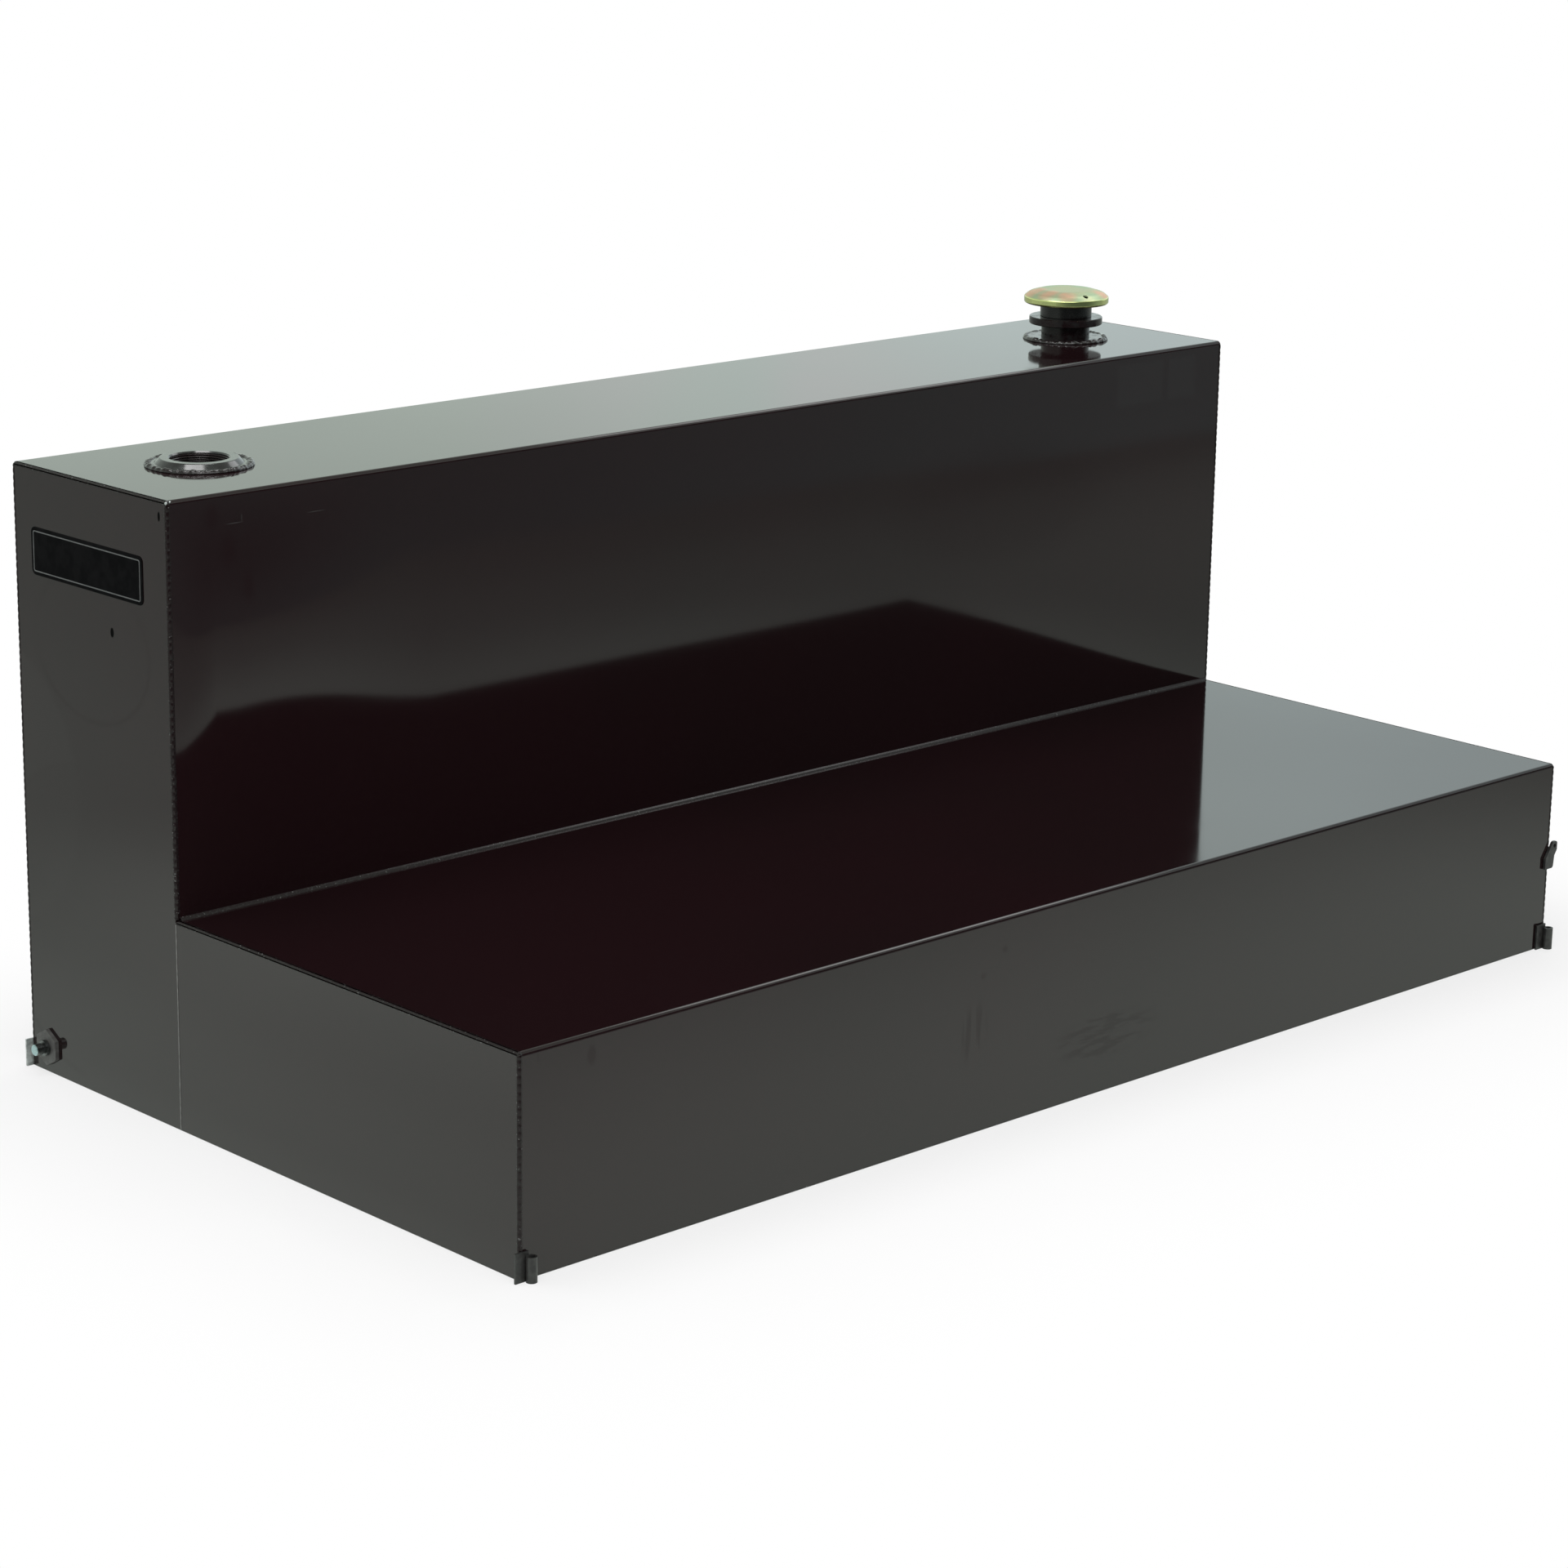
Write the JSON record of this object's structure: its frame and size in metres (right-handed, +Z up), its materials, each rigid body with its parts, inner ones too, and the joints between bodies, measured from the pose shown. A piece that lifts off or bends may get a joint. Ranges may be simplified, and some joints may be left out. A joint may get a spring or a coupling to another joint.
{
  "type": "truck bed transfer tank",
  "caption": "L-shaped welded steel liquid transfer tank with a low front deck, vented screw filler cap, threaded pump bung, drain plug and tie-down eyes.",
  "frame": {"origin": "centre of the tank's footprint, on the plane it stands on", "axes": "+X along the tank towards the filler cap, +Y from the low deck to the back wall, +Z up"},
  "size_m": [1.5005, 0.7794, 0.6694],
  "materials": {
    "gloss_black_paint": "gloss",
    "painted_bead": "gloss",
    "bare_steel": "mill",
    "yellow_zinc": "yellow passivated",
    "black_cap": "satin",
    "seal_rubber": "matte",
    "bright_zinc": "bright zinc",
    "valve_plastic": "matte",
    "spring_steel": "satin"
  },
  "bodies": {
    "tank": {"tall_wrapper": "gloss_black_paint", "low_wrapper": "gloss_black_paint", "floor_sheet": "gloss_black_paint", "left_end_tall": "gloss_black_paint", "left_end_low": "gloss_black_paint", "right_end_tall": "gloss_black_paint", "right_end_low": "gloss_black_paint", "pump_bung": "gloss_black_paint", "filler_neck": "gloss_black_paint", "drain_bung": "gloss_black_paint", "clip_front_left": "gloss_black_paint", "clip_front_right": "gloss_black_paint", "clip_rear_left": "gloss_black_paint", "clip_rear_right": "gloss_black_paint", "ground_tab": "gloss_black_paint", "weld_left_tall": "painted_bead", "weld_left_low": "painted_bead", "weld_right_tall": "painted_bead", "weld_right_low": "painted_bead", "weld_left_seam": "painted_bead", "weld_right_seam": "painted_bead", "weld_floor": "painted_bead", "weld_deck": "painted_bead", "weld_bung": "painted_bead", "weld_neck": "painted_bead", "baffle_left": "bare_steel", "baffle_right": "bare_steel", "drain_plug": "bright_zinc"},
    "cap_seal": {"cap_gasket": "seal_rubber"},
    "cap": {"cap_hub": "black_cap", "cap_disc": "yellow_zinc", "vent_cage": "bright_zinc", "vent_spring": "spring_steel"},
    "vent_valve": {"vent_valve": "valve_plastic"}
  },
  "joints": [
    {"name": "cap_lift", "type": "slide", "parent": "tank", "child": "cap_seal", "axis": [0, 0, 1], "range_m": [0, 0.06]},
    {"name": "cap_turn", "type": "hinge", "parent": "cap_seal", "child": "cap", "pos_m": [0.6085, 0.251, 0.652], "axis": [0, 0, 1], "continuous": true},
    {"name": "vent_lift", "type": "slide", "parent": "cap", "child": "vent_valve", "axis": [0, 0, 1], "range_m": [0, 0.003], "stiffness_N_per_m": 150, "springref_m": -0.006, "deforming": ["vent_spring"]}
  ]
}
